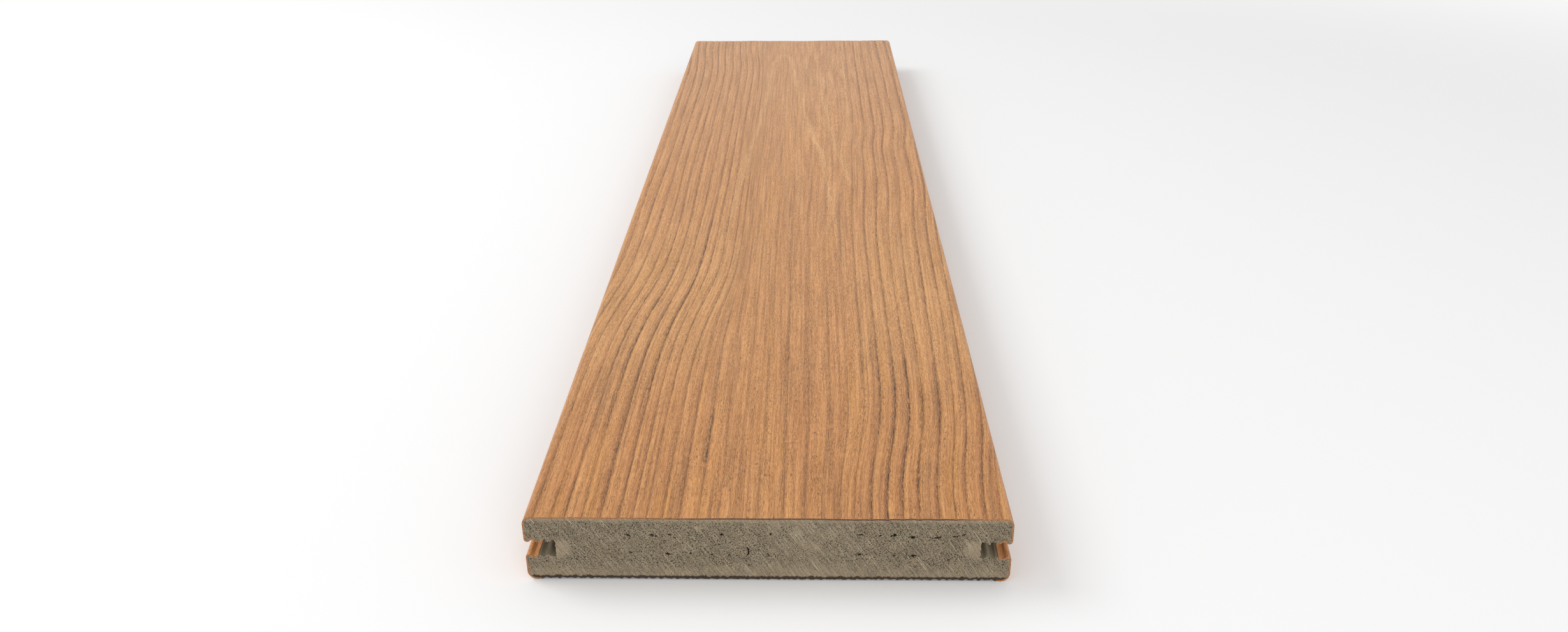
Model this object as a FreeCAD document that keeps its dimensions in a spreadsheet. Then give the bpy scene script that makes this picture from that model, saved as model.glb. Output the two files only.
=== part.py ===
# Grooved decking board, 22 x 140 mm in section: a foamed core with a thin co-extruded cap.
# The cap covers the top and both sides, turns into each clip groove as far as the first crest of
# its flutes, and turns a little way under the board. The rest of the grooves and the underside are
# bare core. Both ends are sawn square.
# Frame: X across the board, Y along it, Z up, with the origin under the middle of the board.

import FreeCAD, Part
import Sketcher
import math
import os
from enum import IntEnum
from types import SimpleNamespace

# Driving dimensions, in millimetres. The cap adds its thickness to the core's corner radii.
DIMENSIONS = {
    "board_length": 578.0,
    "board_width": 140.0,
    "board_thickness": 22.0,
    "core_top_radius": 2.2,
    "core_bottom_radius": 2.3,
    "core_lip_radius": 0.5,
    "cap_thickness": 0.5,
    "cap_turn_under": 4.0,
    "groove_clear_height": 4.4,
    "flute_pitch": 2.9,
    "flute_depth": 0.7,
}

# Flutes along each face of a groove. The cap lines the first, and the last runs into the end wall.
FLUTES = 3
CAPPED_FLUTES = 1

# Which way an arc turns as the outline goes round with the material on its left.
LEFT, RIGHT = 1, -1


class Quarter(IntEnum):
    """What a fluted face has at each quarter of its pitch, counted inward from the lip.

    On the way into a flute and on the way out, the arc of a crest meets the arc of the flute.
    """

    CREST = 0
    WAY_IN = 1
    FLOOR = 2
    WAY_OUT = 3


# Quarters from the lip to where the cap ends, on a crest, and to the groove's end wall.
TO_CAP_END = len(Quarter) * CAPPED_FLUTES
TO_END_WALL = len(Quarter) * (FLUTES - 1) + Quarter.WAY_OUT


class Vertex(IntEnum):
    """The number that a sketch gives each end of a stretch."""

    START = 1
    END = 2


# The sketch's own origin, as the start of its horizontal axis.
SKETCH_ORIGIN = [-1, Vertex.START]


class Size:
    """A length that holds its number in millimetres and the expression that drives it."""

    def __init__(self, number, words):
        self.number = number
        self.words = words

    def __add__(self, other):
        return Size(self.number + other.number, f"({self.words} + {other.words})")

    def __sub__(self, other):
        return Size(self.number - other.number, f"({self.words} - {other.words})")

    def __mul__(self, other):
        return Size(self.number * other.number, f"({self.words} * {other.words})")

    def __truediv__(self, other):
        return Size(self.number / other.number, f"({self.words} / {other.words})")

    def times(self, factor):
        return Size(self.number * factor, f"({self.words} * ({factor}))")

    def half(self):
        return self.times(1 / 2)

    def quarters(self, count):
        return self.times(count / len(Quarter))

    def __neg__(self):
        return self.times(-1)


NOTHING = Size(0.0, "0.0")


class Bend:
    """The radius of an arc and the way that it turns."""

    def __init__(self, radius, turn):
        self.radius = radius
        self.turn = turn

    def reversed(self):
        return Bend(self.radius, -self.turn)


class Corner:
    """A point of an outline, with the bend that leads to it, or none where a straight line does."""

    def __init__(self, x, z, bend=None):
        self.x = x
        self.z = z
        self.bend = bend

    def place(self):
        return FreeCAD.Vector(self.x.number, self.z.number, 0.0)


def backwards(path):
    """The same path walked from its last corner to its first."""
    bends = [None] + [later.bend and later.bend.reversed() for later in path[:0:-1]]
    return [Corner(corner.x, corner.z, bend) for corner, bend in zip(path[::-1], bends)]


def other_side(path):
    """The path's mirror image on the left of the board, walked so that it still goes round left."""
    bends = [None] + [later.bend for later in path[:0:-1]]
    return [Corner(-corner.x, corner.z, bend) for corner, bend in zip(path[::-1], bends)]


def make_sheet(doc):
    """Puts the driving dimensions in the spreadsheet and returns them as sizes."""
    sheet = doc.addObject("Spreadsheet::Sheet", "Dimensions")
    for row, (name, value) in enumerate(DIMENSIONS.items(), start=1):
        sheet.set(f"A{row}", name)
        sheet.set(f"B{row}", str(value))
        sheet.setAlias(f"B{row}", name)
    doc.recompute()
    return SimpleNamespace(
        **{name: Size(value, f"Dimensions.{name}") for name, value in DIMENSIONS.items()}
    )


def convex(radius, inset):
    """An arc round material, on the outside or on a face set in from it."""
    return Bend(radius - inset, LEFT)


def hollow(radius, inset):
    """An arc round a flute, on the outside or on a face set in from it."""
    return Bend(radius + inset, RIGHT)


def flute_radius(size):
    """The radius at which the flutes and the crests between them meet without an edge."""
    across = size.flute_pitch.quarters(1)
    down = size.flute_depth.half()
    return (across * across + down * down) / size.flute_depth


def groove_corner(size, quarter, away, inset):
    """A point of a groove's fluted face. Away is 1 for the upper face and -1 for the lower one."""
    lip_radius = size.core_lip_radius + size.cap_thickness
    x = size.board_width.half() - lip_radius - size.flute_pitch.quarters(quarter)
    rise = size.groove_clear_height.half() + inset
    if quarter % len(Quarter) != Quarter.CREST:
        # Where two arcs meet, the face leans, so its inset has a part along X too.
        radius = flute_radius(size)
        lean = size.flute_pitch.quarters(1) / radius
        upright = (radius - size.flute_depth.half()) / radius
        toward_lip = 1 if quarter % len(Quarter) == Quarter.WAY_IN else -1
        x = x + (inset * lean).times(toward_lip)
        rise = size.groove_clear_height.half() + size.flute_depth.half() + inset * upright
    return Corner(x, size.board_thickness.half() + rise.times(away))


def fluted_face(size, first, last, away, inset):
    """A stretch of a fluted face from one crest or meeting point to another, going inward."""
    meetings = [quarter for quarter in range(first + 1, last) if quarter % 2]
    stops = [first] + meetings + [last]
    corners = [groove_corner(size, quarter, away, inset) for quarter in stops]
    radius = flute_radius(size)
    for before, corner in zip(stops, corners[1:]):
        over_crest = before % len(Quarter) in (Quarter.CREST, Quarter.WAY_OUT)
        bend = convex(radius, inset) if over_crest else hollow(radius, inset)
        corner.bend = bend.reversed() if away > 0 else bend
    return corners


def lower_side(size, inset):
    """From the end of the cap under the board, round the lower lip, to the groove's first crest."""
    half_width = size.board_width.half()
    bottom_radius = size.core_bottom_radius + size.cap_thickness
    lip_radius = size.core_lip_radius + size.cap_thickness
    lip_height = size.board_thickness.half() - size.groove_clear_height.half() - lip_radius
    face = fluted_face(size, 0, TO_CAP_END, -1, inset)
    face[0].bend = convex(lip_radius, inset)
    return [
        Corner(half_width - size.cap_turn_under, inset),
        Corner(half_width - bottom_radius, inset),
        Corner(half_width - inset, bottom_radius, convex(bottom_radius, inset)),
        Corner(half_width - inset, lip_height),
    ] + face


def upper_side(size, inset):
    """From the upper face's first crest, round the upper lip, to the top's rounded edge."""
    half_width = size.board_width.half()
    top_radius = size.core_top_radius + size.cap_thickness
    lip_radius = size.core_lip_radius + size.cap_thickness
    lip_height = size.board_thickness.half() + size.groove_clear_height.half() + lip_radius
    face = backwards(fluted_face(size, 0, TO_CAP_END, 1, inset))
    return face + [
        Corner(half_width - inset, lip_height, convex(lip_radius, inset)),
        Corner(half_width - inset, size.board_thickness - top_radius),
        Corner(half_width - top_radius, size.board_thickness - inset, convex(top_radius, inset)),
    ]


def bare_groove(size):
    """The part of a groove that the cap leaves bare, from the lower first crest to the upper."""
    lower = fluted_face(size, TO_CAP_END, TO_END_WALL, -1, NOTHING)
    upper = fluted_face(size, TO_CAP_END, TO_END_WALL, 1, NOTHING)
    return lower + backwards(upper)


def bare_underside(size):
    """The right end of the stretch of underside that the cap leaves bare."""
    return [Corner(size.board_width.half() - size.cap_turn_under, NOTHING)]


def core_outline(size):
    """The core's section. It is set in by the cap's thickness wherever the cap covers it."""
    right = (
        bare_underside(size)
        + lower_side(size, size.cap_thickness)
        + bare_groove(size)
        + upper_side(size, size.cap_thickness)
    )
    return right + other_side(right)


def top_cap_outline(size):
    """The section of the cap over the top, from one groove's upper face to the other's."""
    outside = upper_side(size, NOTHING)
    inside = upper_side(size, size.cap_thickness)
    return outside + other_side(outside) + backwards(inside + other_side(inside))


def right_lip_cap_outline(size):
    """The section of the cap round the lower lip, from under the board into the groove."""
    return lower_side(size, NOTHING) + backwards(lower_side(size, size.cap_thickness))


def left_lip_cap_outline(size):
    """The same section on the left of the board."""
    return other_side(lower_side(size, NOTHING)) + backwards(
        other_side(lower_side(size, size.cap_thickness))
    )


def arc_between(first, last, bend):
    """The arc between two places, and whether it starts at the second, as a left turn must."""
    radius = bend.radius.number
    half_chord = (last - first) * 0.5
    toward_centre = FreeCAD.Vector(-half_chord.y, half_chord.x, 0.0).normalize() * bend.turn
    reach = math.sqrt(radius**2 - half_chord.Length**2)
    centre = first + half_chord + toward_centre * reach
    swapped = bend.turn == RIGHT
    start, end = (last, first) if swapped else (first, last)
    circle = Part.Circle(centre, FreeCAD.Vector(0, 0, 1), radius)
    angles = [math.atan2(place.y - centre.y, place.x - centre.x) for place in (start, end)]
    return Part.ArcOfCircle(circle, *angles), swapped


def draw(sketch, outline):
    """Draws a closed outline and ties every corner and every arc to the driving dimensions."""
    stretches = []
    for before, corner in zip([outline[-1]] + outline, outline):
        ends = [Vertex.START, Vertex.END]
        if corner.bend:
            curve, swapped = arc_between(before.place(), corner.place(), corner.bend)
            number = sketch.addGeometry(curve)
            tie(sketch, "Radius", [number], corner.bend.radius)
            ends = ends[::-1] if swapped else ends
        else:
            number = sketch.addGeometry(Part.LineSegment(before.place(), corner.place()))
        stretches.append((number, ends))
    following = stretches[1:] + stretches[:1]
    for corner, (number, ends), (next_number, next_ends) in zip(outline, stretches, following):
        here = [number, ends[1]]
        there = [next_number, next_ends[0]]
        sketch.addConstraint(Sketcher.Constraint("Coincident", *here, *there))
        tie(sketch, "DistanceX", SKETCH_ORIGIN + here, corner.x)
        tie(sketch, "DistanceY", SKETCH_ORIGIN + here, corner.z)


def tie(sketch, kind, what, size):
    """Adds a dimension to the sketch, driven by the expression of a size."""
    index = sketch.addConstraint(Sketcher.Constraint(kind, *what, size.number))
    sketch.setExpression(f"Constraints[{index}]", size.words)


def extrude(doc, name, outline, size):
    """One sub-part: its section drawn across the board and padded half each way along it."""
    body = doc.addObject("PartDesign::Body", name)
    section = body.newObject("Sketcher::SketchObject", f"{name}_section")
    across = [plane for plane in body.Origin.OriginFeatures if plane.Role == "XZ_Plane"]
    section.AttachmentSupport = [(across[0], "")]
    section.MapMode = "FlatFace"
    draw(section, outline)
    pad = body.newObject("PartDesign::Pad", f"{name}_length")
    pad.Profile = section
    pad.SideType = "Symmetric"
    pad.setExpression("Length", size.board_length.words)
    body.Tip = pad
    return body


def check(doc, bodies):
    """Stops if any object of the document failed, or a sub-part isn't one sound solid."""
    for item in doc.Objects:
        faults = {"Invalid", "Error"}.intersection(item.State)
        if faults:
            raise RuntimeError(f"{item.Label} is {' and '.join(faults)}")
    for body in bodies:
        shape = body.Shape
        if shape.isNull() or not shape.isValid() or len(shape.Solids) != 1:
            raise RuntimeError(f"{body.Label} isn't one valid solid")


def main():
    doc = FreeCAD.newDocument("decking_board")
    size = make_sheet(doc)
    outlines = {
        "foam_core": core_outline(size),
        "top_cap": top_cap_outline(size),
        "left_lip_cap": left_lip_cap_outline(size),
        "right_lip_cap": right_lip_cap_outline(size),
    }
    bodies = [extrude(doc, name, outline, size) for name, outline in outlines.items()]
    doc.recompute()
    check(doc, bodies)
    os.makedirs("parts", exist_ok=True)
    for body in bodies:
        body.Shape.exportStep(f"parts/{body.Label}.step")
        print(f"{body.Label}: {body.Shape.Volume / 1000.0:.1f} cm3, {body.Shape.BoundBox}")


main()
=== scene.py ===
# A grooved decking board on a plain floor: embossed cap, sawn foam ends and ribbed underside.
# Lengths are in millimetres until a mesh is made.
import math

import bpy
import numpy as np
from mathutils import Matrix, Vector, geometry, kdtree


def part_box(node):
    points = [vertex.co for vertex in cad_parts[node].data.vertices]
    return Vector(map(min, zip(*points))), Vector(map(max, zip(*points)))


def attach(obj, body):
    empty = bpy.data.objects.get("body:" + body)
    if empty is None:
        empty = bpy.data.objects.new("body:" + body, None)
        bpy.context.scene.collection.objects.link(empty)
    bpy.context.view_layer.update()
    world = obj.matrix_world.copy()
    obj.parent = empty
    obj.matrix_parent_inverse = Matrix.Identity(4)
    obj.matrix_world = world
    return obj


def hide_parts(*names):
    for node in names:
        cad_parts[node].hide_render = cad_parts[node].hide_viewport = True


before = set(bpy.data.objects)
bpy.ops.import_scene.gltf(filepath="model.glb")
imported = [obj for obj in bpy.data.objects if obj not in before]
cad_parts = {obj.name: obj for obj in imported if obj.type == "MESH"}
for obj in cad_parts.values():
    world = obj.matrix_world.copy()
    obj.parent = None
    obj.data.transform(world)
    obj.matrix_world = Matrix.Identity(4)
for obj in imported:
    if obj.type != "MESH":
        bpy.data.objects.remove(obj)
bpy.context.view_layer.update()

MM = 0.001
SAME_PLACE = 1e-6


def box_mm(node):
    """The lowest and highest corners of a node, in millimetres."""
    return [np.array(corner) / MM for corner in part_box(node)]


CAP_HIGH = box_mm("top_cap")[1]
CORE_LOW, CORE_HIGH = box_mm("foam_core")
LIP_LOW = box_mm("right_lip_cap")[0]
NEAR_END, FAR_END = CORE_LOW[1], CORE_HIGH[1]
HALF_WIDTH = CAP_HIGH[0]
TOP = CAP_HIGH[2]
CAP_THICKNESS = CAP_HIGH[2] - CORE_HIGH[2]
BARE_HALF_WIDTH = LIP_LOW[0]
GROOVE_MIDDLE = TOP / 2

# Spacing of the mesh: across the board, and rows along it that are closest at the near end.
CAP_STEP = 0.4
CORE_STEP = 0.36
FINE_ROWS = 183
ROWS_PER_COARSE_ROW = 7
ROW_CROWDING = 1.2
SHARP_ANGLE = math.radians(40)

# The lines of the grain, listed where they meet the near end. They shift sideways along the board.
MIDDLE_LINES = [
    -57.6, -52.7, -47.4, -42.2, -38.4, -34.6, -29.5, -24.8, -19.5, -14.2, -8.0, -2.0,
    4.6, 10.5, 15.8, 20.4, 24.6, 29.5, 34.2, 38.5, 42.9, 48.5, 53.2, 56.9, 61.8, 65.9,
]
OUTER_LEFT_LINES = np.arange(-116.5, -60.0, 5.0)
OUTER_RIGHT_LINES = np.arange(70.4, 115.0, 4.5)
LINES = np.concatenate([OUTER_LEFT_LINES, MIDDLE_LINES, OUTER_RIGHT_LINES])
# Bends of the lines: the place along the board, how gradual the bend is, and the shift right.
LEFT_BENDS = [(-147.0, 36.0, 10.5), (240.0, 32.0, -5.0)]
RIGHT_BENDS = [(-253.0, 25.0, 6.8), (-38.0, 30.0, 4.0), (62.0, 14.0, 3.0)]
LEFT_HALF_ENDS = (-34.0, -8.0)
RIGHT_HALF_BEGINS = (2.0, 30.0)
RIGHT_SPREAD = 0.22
SPREAD_LINES = (30.0, 56.0)
LINE_SWAY = 0.22

# Where the paths of the two lips begin when the grain is unrolled past the sides of the top.
LEFT_LIP_BEGINS = -84.0
RIGHT_LIP_BEGINS = 104.0

# Relief of the embossed grain, going down from the top face.
NOTCH_DEPTH = 0.34
SMOOTH_MIDDLE = (16.0, 34.0)
BROAD_WAVE = 0.26
ARCH_WAVE = 0.10
ROUND_EDGE = (66.9, 69.3)
STRAIGHT_EDGE = 36.0
# A ring rises past its line and falls to the next within these shares of it. It slopes between.
RING_RISE = 0.08
RING_FALL = 0.11
RING_SLOPE = 0.30
RING_TOP = 0.84
# How much of the top's notches and dark streaks the sides and the lips have.
SIDE_NOTCHES = 0.35
SIDE_STREAKS = 0.3

# The pale arch that the rings close into: along the board, its middle and its half width there.
ARCH = [
    (-118.0, 0.0, 27.0),
    (31.0, -0.6, 19.1),
    (90.0, -2.3, 13.8),
    (145.0, -3.4, 9.9),
    (225.0, -5.2, 6.3),
    (240.0, -4.6, 3.6),
    (247.0, -4.2, 0.5),
]
ARCH_BEGINS = (-150.0, 10.0)
# Pale lines beside the arch: along the board, and across it there.
PALE_LINES = [
    [(-20.0, 33.0), (24.0, 28.5), (64.0, 24.8), (114.0, 21.8), (150.0, 20.5), (190.0, 23.0)],
    [(40.0, 34.4), (289.0, 35.0)],
    [(-60.0, 9.0), (40.0, 5.0), (110.0, -2.0), (150.0, -4.0)],
]
PALE_HALF_WIDTH = 1.4
PALE_SWAY = 0.35
PALE_LINE_STRENGTH = 0.75

# Dark streaks that stand out: the line, where the streak starts and ends, and how dark it is.
BOLD_STREAKS = [
    (-57.6, -250.0, -140.0, 0.34),
    (-52.7, -240.0, -110.0, 0.62),
    (-47.4, -285.0, -150.0, 0.50),
    (-42.2, -215.0, -60.0, 0.68),
    (-34.6, -210.0, -120.0, 0.40),
    (-19.5, -262.0, -236.0, 0.75),
    (4.6, -194.0, -182.0, 0.45),
    (29.5, -289.0, -180.0, 0.55),
    (34.2, -289.0, -185.0, 0.80),
    (38.5, -289.0, -195.0, 0.85),
    (42.9, -280.0, -215.0, 0.55),
    (48.5, -262.0, -200.0, 0.60),
    (56.9, -250.0, -215.0, 0.50),
    (61.8, -280.0, -240.0, 0.45),
]
FAINT_STREAK = 0.32
SOFT_END = 12.0

# The bare underside: ribs along the board, shallow in the middle, and chipped at the sawn ends.
RIB_PITCH = 2.3
RIB_DEPTH = 0.42
RIB_SHARPNESS = 1.4
RIB_SWAY = 0.35
FLAT_STRIP = (24.0, 31.0)
FLAT_STRIP_SHARE = 0.3
CHIP_LENGTH = 1.4
CHIP_HEIGHT = 0.45

# The bare part of each groove, inward of the cap's edges, and how far its surface is torn.
BARE_GROOVE_BEGINS = 66.0
BARE_GROOVE_HALF_HEIGHT = 3.2
TORN_SURFACE = 0.05
TORN_END = 0.10

# Voids in the sawn foam: across, height, half length, half height, slope and depth.
NEAR_VOIDS = [
    (-39.7, 15.6, 0.65, 0.27, -0.6, 0.9),
    (-33.1, 15.8, 0.72, 0.31, 0.1, 1.2),
    (-31.9, 15.4, 0.36, 0.22, 0.5, 0.7),
    (-27.9, 15.9, 0.5, 0.27, -0.3, 0.9),
    (-26.6, 14.9, 0.43, 0.2, 0.2, 0.6),
    (-22.6, 15.7, 0.36, 0.2, 0.4, 0.6),
    (-13.1, 16.1, 0.5, 0.32, 0.6, 1.1),
    (1.0, 16.3, 0.36, 0.25, 0.9, 1.2),
    (26.5, 16.2, 0.79, 0.23, 0.1, 0.9),
    (32.1, 15.9, 0.43, 0.23, 0.6, 1.0),
    (36.2, 16.1, 0.79, 0.31, 0.2, 1.2),
    (41.5, 15.5, 0.94, 0.36, -0.1, 1.1),
    (48.4, 15.3, 1.01, 0.31, 0.1, 1.2),
    (53.6, 15.7, 0.86, 0.23, 0.2, 1.0),
    (56.0, 16.4, 0.72, 0.16, 0.5, 0.8),
    (-39.5, 9.6, 0.5, 0.18, 0.1, 0.7),
    (-28.8, 9.2, 0.72, 0.31, -0.2, 1.2),
    (-22.3, 9.4, 0.43, 0.22, 0.3, 0.7),
    (-16.2, 9.1, 0.5, 0.22, -0.1, 0.9),
    (-11.0, 9.0, 0.25, 0.27, 0.0, 1.0),
    (0.2, 9.3, 0.43, 0.23, -0.4, 0.9),
    (26.4, 9.4, 0.65, 0.32, 0.1, 1.2),
    (36.2, 8.9, 0.43, 0.22, 0.2, 0.8),
    (41.9, 9.0, 0.72, 0.34, -0.1, 1.3),
    (52.0, 7.6, 0.58, 0.2, 0.3, 0.8),
]
VOID_WALL = (0.45, 1.05)
VOID_RAGGEDNESS = 0.5
VOID_MARGIN = 0.5
VOID_TRACE = 0.05
# One long curved void, an arc of a circle: its middle across and up, its radius and half height.
CRESCENT = (-7.9, 10.2, 2.5, 1.6)
CRESCENT_HALF_WIDTH = 0.19
CRESCENT_FLOOR_SHARE = 0.4
CRESCENT_SOFT_END = 0.5
CRESCENT_DEPTH = 1.1
# The look of a sawn end: the slant of its saw marks, and two places with few pores round them.
SAW_SLANT = math.radians(57.0)
CALM_FOAM = 12.0
BEHIND_GROOVE = CORE_HIGH[0] - 9.5
# The triangles that fill a sawn end: wide apart in plain foam, and close together by the voids.
FOAM_POINT_STEP = 0.62
VOID_POINT_STEP = 0.17
POINT_SHIFT = 0.35
EDGE_CLEARANCE = 0.8 * CORE_STEP
FOAM_ROUGHNESS = 0.025

# The stage: a floor that fades to white between two distances, and the light from all round.
FLOOR_HALF_SIZE = 6.0
FLOOR_FADE = (0.45, 1.1)
FLOOR_GREY = 0.94
WORLD_LIGHT = 0.74

# The camera, worked out from the edges of the board in the photograph, 2460 pixels wide.
IMAGE_WIDTH = 2460
FOCAL_LENGTH = 1869.6
SENSOR_WIDTH = 36.0
CAMERA_PLACE = (0.01155, -0.56631, 0.22180)
CAMERA_TURN = math.radians(1.2855)
CAMERA_DOWN = math.radians(26.1498)
CAMERA_ROLL = math.radians(-0.4938)


def smooth(value, low, high):
    """0 below low, 1 above high, and an even curve between them."""
    share = np.clip((value - low) / (high - low), 0.0, 1.0)
    return share * share * (3.0 - 2.0 * share)


class Ripples:
    """Seeded smooth waves, mostly between -1 and 1, of about the given lengths."""

    def __init__(self, seed, across, along, count=7):
        chance = np.random.default_rng(seed)
        turns = chance.uniform(0.5, 1.5, (count, 2)) * chance.choice([-1.0, 1.0], (count, 2))
        self.rates = turns * 2.0 * math.pi / np.array([across, along])
        self.starts = chance.uniform(0.0, 2.0 * math.pi, count)

    def __call__(self, across, along):
        waves = [
            np.sin(across * rate[0] + along * rate[1] + start)
            for rate, start in zip(self.rates, self.starts)
        ]
        return sum(waves) / math.sqrt(len(waves))


WANDER = Ripples(11, 30.0, 190.0)
LINE_FADING = Ripples(12, 14.0, 70.0)
BROAD = Ripples(13, 34.0, 240.0)
ARCH_WANDER = Ripples(14, 22.0, 45.0)
RIB_WANDER = Ripples(15, 9.0, 120.0)
RIB_SIZE = Ripples(16, 5.0, 60.0)
TORN = Ripples(17, 1.6, 14.0)
CRUMBLED = Ripples(19, 1.3, 5.0)
VOID_EDGE = Ripples(18, 0.62, 0.5)


def end_outline(node):
    """The outline of a node's near end, as rows of x and z that go round it anticlockwise."""
    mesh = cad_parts[node].data
    near_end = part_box(node)[0].y
    places = {
        corner.index: (round(corner.co.x / MM, 4), round(corner.co.z / MM, 4))
        for corner in mesh.vertices
        if abs(corner.co.y - near_end) < SAME_PLACE
    }
    steps = set()
    for face in mesh.polygons:
        if all(index in places for index in face.vertices):
            ring = [places[index] for index in face.vertices]
            steps.update(zip(ring, ring[1:] + ring[:1]))
    onward = {first: second for first, second in steps if (second, first) not in steps}
    outline = [min(onward)]
    while onward[outline[-1]] != outline[0]:
        outline.append(onward[outline[-1]])
    return np.array(outline)


def distance_to(outline, places):
    """How far each place is from a closed outline."""
    starts = outline[None, :, :]
    runs = np.roll(outline, -1, axis=0)[None, :, :] - starts
    toward = places[:, None, :] - starts
    share = np.clip((toward * runs).sum(2) / (runs * runs).sum(2), 0.0, 1.0)
    return np.linalg.norm(toward - share[:, :, None] * runs, axis=2).min(1)


def inside(outline, places):
    """Whether each place is within a closed outline."""
    start_x, start_z = outline.T
    end_x, end_z = np.roll(outline, -1, axis=0).T
    x, z = places[:, :1], places[:, 1:]
    spans = (start_z > z) != (end_z > z)
    rise = np.where(end_z == start_z, 1.0, end_z - start_z)
    crossing = start_x + (z - start_z) * (end_x - start_x) / rise
    return (spans & (x < crossing)).sum(1) % 2 == 1


def outer_path(node, core):
    """The outside of a cap, from one of its edges to the other, in the outline's order."""
    outline = end_outline(node)
    outside = distance_to(core, outline) > CAP_THICKNESS / 2
    first = int(np.argmax(outside & ~np.roll(outside, 1)))
    return np.roll(outline, 1 - first, axis=0)[: outside.sum() + 2]


def divided(path, step):
    """The same path with its long stretches cut into equal parts."""
    pieces = []
    for start, end in zip(path, path[1:]):
        parts = max(1, math.ceil(np.linalg.norm(end - start) / step))
        shares = np.arange(parts)[:, None] / parts
        pieces.append(start + (end - start) * shares)
    return np.vstack(pieces + [path[-1:]])


def outward(path):
    """The outward direction at each place of a path that has the material on its left."""
    run = np.gradient(path, axis=0)
    across = np.column_stack([run[:, 1], -run[:, 0]])
    return across / np.linalg.norm(across, axis=1)[:, None]


def bend_shift(along, bends):
    """How far right a set of bends has carried the grain at each place along the board."""
    return sum(shift * (1.0 + np.tanh((along - place) / reach)) / 2 for place, reach, shift in bends)


def grain_shift(line, along):
    """How far right of its start at the near end a line of grain lies further along."""
    left_part = (1.0 - smooth(line, *LEFT_HALF_ENDS)) * bend_shift(along, LEFT_BENDS)
    right_part = smooth(line, *RIGHT_HALF_BEGINS) * bend_shift(along, RIGHT_BENDS)
    spreading = RIGHT_SPREAD * (np.clip(line, *SPREAD_LINES) - SPREAD_LINES[0])
    right_part = right_part + spreading * smooth(along, NEAR_END, 0.0)
    return left_part + right_part + LINE_SWAY * WANDER(line, along)


LINE_GRID = np.arange(-110.0, 110.0, 0.5)


def line_through(across, along):
    """The line of grain that passes each place. Across holds one row for each place along."""
    rows = [
        np.interp(row, LINE_GRID + grain_shift(LINE_GRID, place), LINE_GRID)
        for row, place in zip(across, along)
    ]
    return np.array(rows)


def ring_number(line):
    """Counts the rings from line to line. It is whole where a dark line runs."""
    return np.interp(line, LINES, np.arange(len(LINES)))


def notched(line):
    """1 where the rings are cut as notches, and 0 down the smooth middle."""
    return smooth(np.abs(line), *SMOOTH_MIDDLE)


def between(along, start, end):
    """1 from start to end, fading to 0 a little before and after."""
    begun = smooth(along, start - SOFT_END, start)
    return begun * (1.0 - smooth(along, end, end + SOFT_END))


def pale_band(off):
    """How pale a place is that lies this far from the middle of a pale line."""
    return np.exp(-((off / PALE_HALF_WIDTH) ** 2))


def arches(across, along):
    """How much of the pale arch and of the pale lines beside it each place has, from 0 to 1."""
    sway = PALE_SWAY * ARCH_WANDER(across, along)
    places, middles, halves = zip(*ARCH)
    half = np.interp(along, places, halves) - (along - places[-1]).clip(0.0)
    off = np.abs(across - np.interp(along, places, middles)) - half + sway
    pale = pale_band(off) * smooth(along, *ARCH_BEGINS)
    for number, line in enumerate(PALE_LINES):
        places, middles = zip(*line)
        off = across - np.interp(along, places, middles) + sway
        strength = PALE_LINE_STRENGTH / math.sqrt(1.0 + number)
        here = between(along, places[0] + SOFT_END, places[-1] - SOFT_END)
        pale = np.maximum(pale, strength * here * pale_band(off))
    return pale


LINE_DEPTHS = np.random.default_rng(21).uniform(0.55, 1.0, len(LINES))
LINE_DARKNESS = np.random.default_rng(22).uniform(0.5, 1.0, len(LINES))


def relief(across, along):
    """How far the embossed grain lies below the top face."""
    line = line_through(across, along)
    row = along[:, None]
    ring = ring_number(line)
    part = ring % 1.0
    rise = 1.0 - np.exp(-part / RING_RISE)
    fall = 1.0 - np.exp(-(1.0 - part) / RING_FALL)
    ridge = rise * fall * (1.0 - RING_SLOPE * part) / RING_TOP
    depth = np.interp(ring, np.arange(len(LINES)), LINE_DEPTHS)
    depth = depth * (0.82 + 0.18 * LINE_FADING(line, row)) * notched(line)
    waves = BROAD_WAVE * (0.5 + 0.3 * BROAD(line, row))
    bands = ARCH_WAVE * (1.0 - notched(line)) * (1.0 - arches(across, row))
    fade = 1.0 - smooth(np.abs(across), *ROUND_EDGE)
    return fade * (NOTCH_DEPTH * depth * (1.0 - ridge) + waves + bands).clip(0.0)


def streaks(line, along):
    """How dark the streak along the nearest line is, from 0 to 1."""
    nearest = np.rint(ring_number(line)).astype(int)
    darkness = FAINT_STREAK * LINE_DARKNESS[nearest]
    for place, start, end, strength in BOLD_STREAKS:
        here = nearest == int(np.argmin(np.abs(LINES - place)))
        bold = strength * between(along, start, end)
        darkness = np.where(here, np.maximum(darkness, bold), darkness)
    return darkness


def embossed(path, along):
    """The path repeated at each place along the board, its top moved and pressed by the grain."""
    x = np.tile(path[:, 0], (len(along), 1))
    z = np.tile(path[:, 1], (len(along), 1))
    on_top = z > GROOVE_MIDDLE + (TOP - GROOVE_MIDDLE) / 2
    give = smooth(ROUND_EDGE[0] - np.abs(x), 0.0, STRAIGHT_EDGE)
    x = x + np.where(on_top, give * grain_shift(x, along[:, None]), 0.0)
    z = z - np.where(on_top, relief(x, along), 0.0)
    return x, z


def corners(x, z, along):
    """Mesh corners in metres from rows of x and z and the place of each row."""
    y = np.broadcast_to(along[:, None], x.shape)
    return np.stack([x, y, z], axis=2).reshape(-1, 3) * MM


def strip(rows, columns, first=0, closed=False):
    """Quads between rows of corners. The outside is on the right of the columns' order."""
    row, column = np.mgrid[0 : rows - 1, 0 : columns if closed else columns - 1]
    following = (column + 1) % columns
    quads = [
        row * columns + column,
        (row + 1) * columns + column,
        (row + 1) * columns + following,
        row * columns + following,
    ]
    return (first + np.stack(quads, axis=2).reshape(-1, 4)).tolist()


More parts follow.
